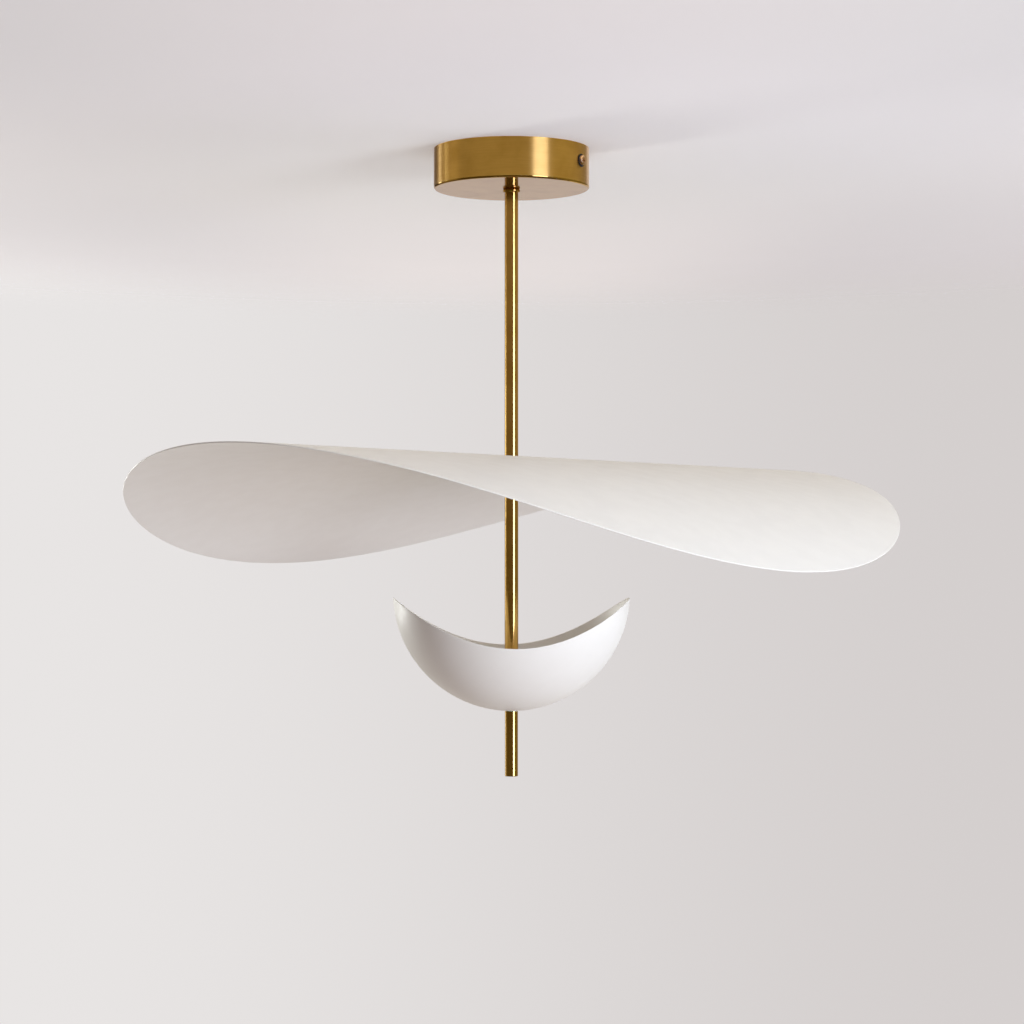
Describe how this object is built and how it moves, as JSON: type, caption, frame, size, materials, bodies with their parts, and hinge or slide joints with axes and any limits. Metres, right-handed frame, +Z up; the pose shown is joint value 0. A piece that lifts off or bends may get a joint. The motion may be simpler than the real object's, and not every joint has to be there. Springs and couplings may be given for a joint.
{
  "type": "pendant light",
  "caption": "Ceiling pendant: round brass canopy, slim rod, a large white sheet disc rolled into an arch, and a small white bowl with an upward light ring.",
  "frame": {"origin": "the ceiling plane on the rod's axis, midway between the two slots of the mounting strap", "axes": "+Z points up into the ceiling along the rod; +X runs along the mounting strap, through the two side screws of the canopy"},
  "size_m": [0.5719, 0.5998, 0.483],
  "materials": {
    "satin_brass": "satin",
    "polished_brass": "polished",
    "screw_brass": "satin",
    "white_paint": "matte",
    "zinc_steel": "satin",
    "black_rubber": "matte",
    "foam_pad": "matte",
    "white_nylon": "matte",
    "driver_plastic": "matte",
    "circuit_board": "satin",
    "lead_sheath": "satin",
    "brown_wire": "satin",
    "blue_wire": "satin",
    "earth_wire": "satin",
    "terminal_plastic": "satin",
    "terminal_brass": "satin",
    "tinned_copper": "satin",
    "aluminium_plate": "satin",
    "white_board": "satin",
    "chip_yellow": "satin",
    "opal_plastic": "satin"
  },
  "bodies": {
    "ceiling_frame": {"mounting_strap": "zinc_steel", "canopy": "satin_brass", "canopy_screws": "screw_brass", "canopy_screw_washers": "black_rubber", "earth_screw": "zinc_steel", "earth_lug": "tinned_copper", "earth_wire": "earth_wire", "mounting_pads": "foam_pad", "driver_case": "driver_plastic", "driver_lid": "driver_plastic", "driver_board": "circuit_board", "driver_live_wire": "brown_wire", "driver_neutral_wire": "blue_wire", "terminal_block": "terminal_plastic", "terminal_inserts": "terminal_brass", "terminal_clamp_screws": "zinc_steel", "led_lead": "lead_sheath", "top_nipple": "zinc_steel", "lock_washer": "zinc_steel", "canopy_nut": "zinc_steel", "canopy_collar": "polished_brass", "upper_tube": "polished_brass", "reflector_nipple": "zinc_steel", "reflector_washers": "white_nylon", "middle_tube": "polished_brass", "hub_nipple": "zinc_steel", "light_hub": "aluminium_plate", "light_carrier": "aluminium_plate", "light_board": "white_board", "light_chips": "chip_yellow", "light_board_screws": "zinc_steel", "board_connector": "driver_plastic", "opal_cover": "opal_plastic", "bowl_washers": "white_nylon", "tail_nipple": "zinc_steel", "tail_tube": "polished_brass", "tail_plug": "polished_brass"},
    "reflector_body": {"reflector": "white_paint"},
    "bowl_body": {"bowl": "white_paint"}
  },
  "joints": [
    {"name": "reflector_turn", "type": "hinge", "parent": "ceiling_frame", "child": "reflector_body", "pos_m": [0, 0, -0.2388], "axis": [0, 0, 1], "continuous": true},
    {"name": "bowl_turn", "type": "hinge", "parent": "ceiling_frame", "child": "bowl_body", "pos_m": [0, 0, -0.4319], "axis": [0, 0, 1], "continuous": true}
  ]
}
